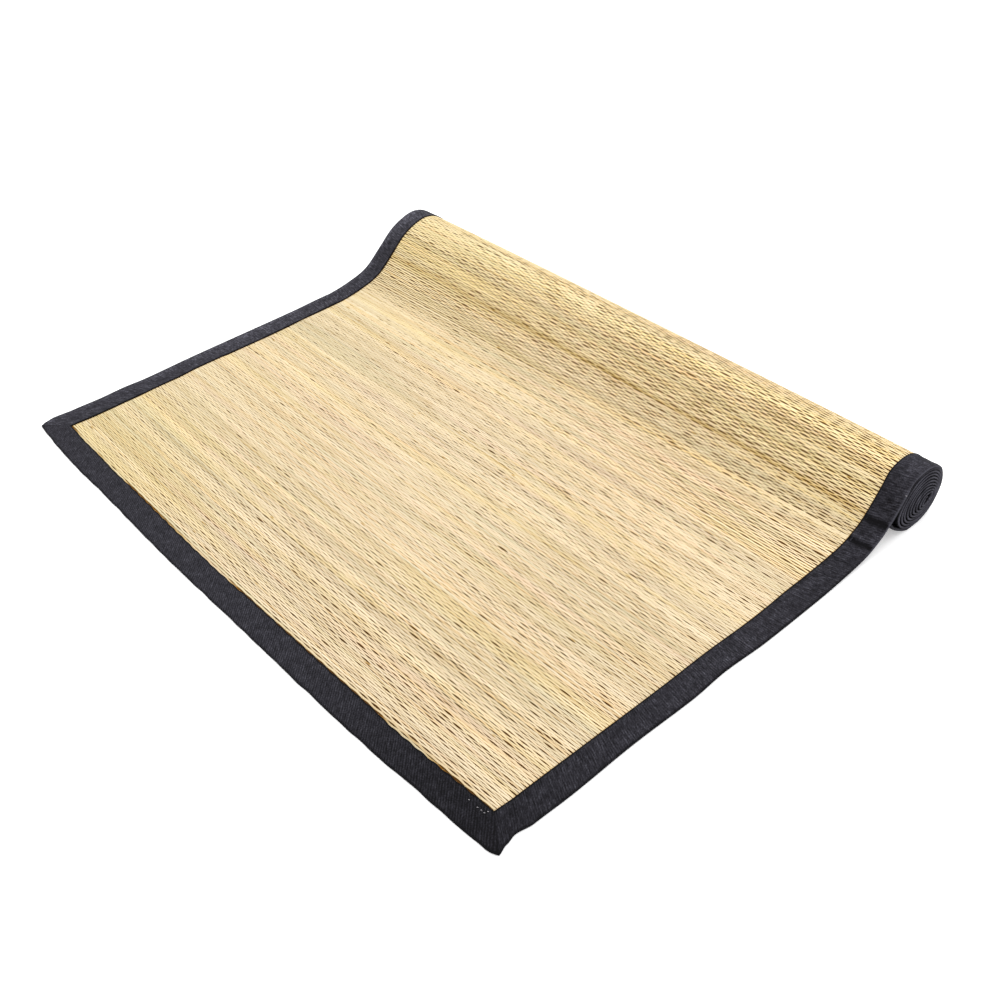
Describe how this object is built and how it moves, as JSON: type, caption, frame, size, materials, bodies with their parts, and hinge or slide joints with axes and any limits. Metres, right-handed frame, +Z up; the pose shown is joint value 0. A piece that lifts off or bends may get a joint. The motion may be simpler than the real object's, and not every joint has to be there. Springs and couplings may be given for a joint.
{
  "type": "grass yoga mat",
  "caption": "Woven grass mat with a dark cloth binding, half unrolled: flat in front, wound into a loose oval roll behind.",
  "frame": {"origin": "on the floor, in the middle of the footprint of the mat as it lies", "axes": "+X across the mat along its reeds, towards its right edge; +Y from the flat end towards the roll; +Z up"},
  "size_m": [0.7654, 0.5699, 0.0634],
  "materials": {
    "grass": "woven split grass reeds, dry and slightly silky, streaked along the reeds",
    "binding": "matt cotton twill tape"
  },
  "bodies": {
    "root": {"grass_panel": "grass", "front_binding": "binding", "left_binding": "binding", "right_binding": "binding"}
  },
  "joints": []
}
